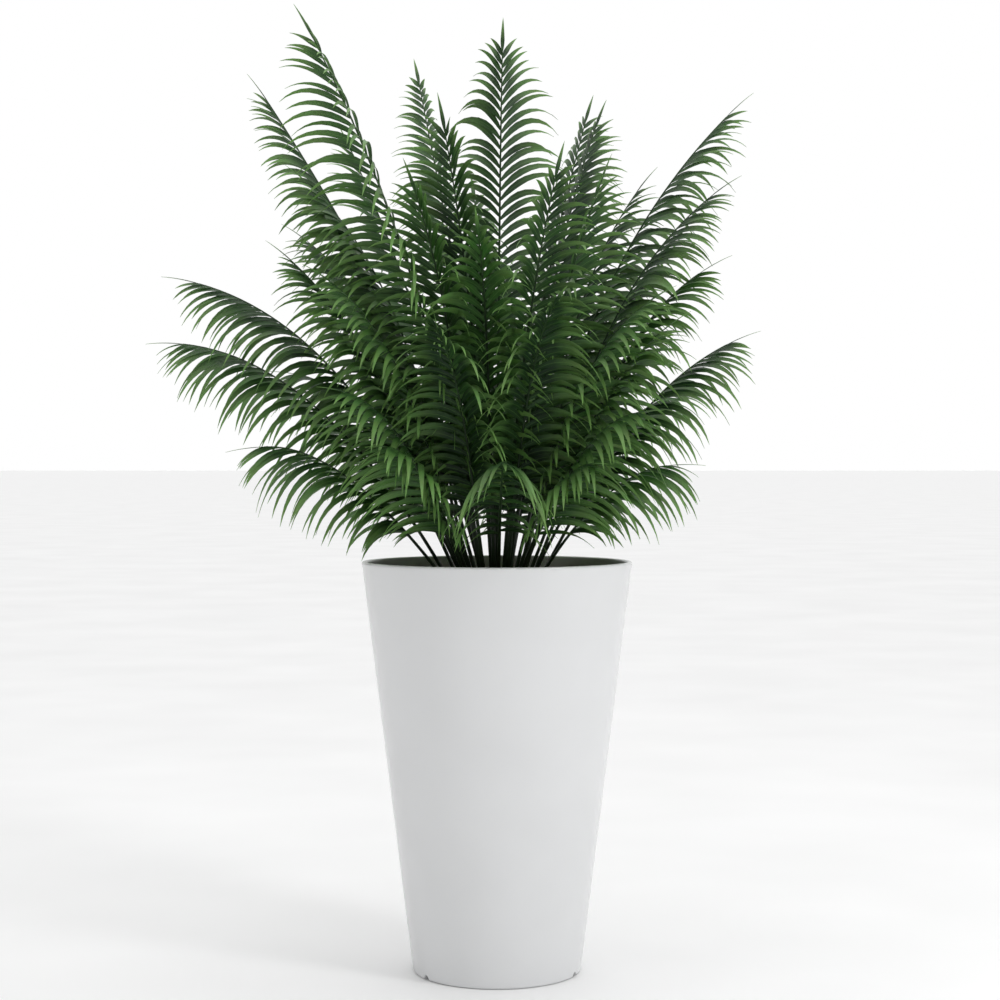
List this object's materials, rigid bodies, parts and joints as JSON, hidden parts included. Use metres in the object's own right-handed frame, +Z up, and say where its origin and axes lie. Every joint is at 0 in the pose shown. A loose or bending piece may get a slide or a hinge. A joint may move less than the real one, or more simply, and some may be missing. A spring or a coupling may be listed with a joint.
{
  "type": "potted palm",
  "caption": "Tall tapered white round planter filled with soil, holding a dense clump of arching feathery palm leaves on thin stalks.",
  "frame": {"origin": "centre of the planter's foot, on the surface it stands on", "axes": "+Z up through the planter, +X to the right and -Y towards the front, where the leaves are fullest"},
  "size_m": [1.1372, 0.8895, 1.772],
  "materials": {
    "planter_plastic": "smooth white moulded plastic with a soft satin gloss",
    "soil": "loose dark brown potting compost, dull and granular",
    "palm_leaf": "deep green living palm leaf, waxy satin above and duller below"
  },
  "bodies": {
    "root": {"planter": "planter_plastic", "potting_soil": "soil", "frond_01": "palm_leaf", "frond_02": "palm_leaf", "frond_03": "palm_leaf", "frond_04": "palm_leaf", "frond_05": "palm_leaf", "frond_06": "palm_leaf", "frond_07": "palm_leaf", "frond_08": "palm_leaf", "frond_09": "palm_leaf", "frond_10": "palm_leaf", "frond_11": "palm_leaf", "frond_12": "palm_leaf", "frond_13": "palm_leaf", "frond_14": "palm_leaf", "frond_15": "palm_leaf", "frond_16": "palm_leaf", "frond_17": "palm_leaf", "frond_18": "palm_leaf", "frond_19": "palm_leaf", "frond_20": "palm_leaf", "frond_21": "palm_leaf", "frond_22": "palm_leaf", "frond_23": "palm_leaf", "frond_24": "palm_leaf", "frond_25": "palm_leaf", "frond_26": "palm_leaf", "frond_27": "palm_leaf", "frond_28": "palm_leaf", "frond_29": "palm_leaf", "frond_30": "palm_leaf", "frond_31": "palm_leaf", "frond_32": "palm_leaf", "frond_33": "palm_leaf", "frond_34": "palm_leaf", "frond_35": "palm_leaf", "frond_36": "palm_leaf", "frond_37": "palm_leaf", "frond_38": "palm_leaf", "frond_39": "palm_leaf", "frond_40": "palm_leaf", "frond_41": "palm_leaf", "frond_42": "palm_leaf", "frond_43": "palm_leaf", "frond_44": "palm_leaf"}
  },
  "joints": []
}
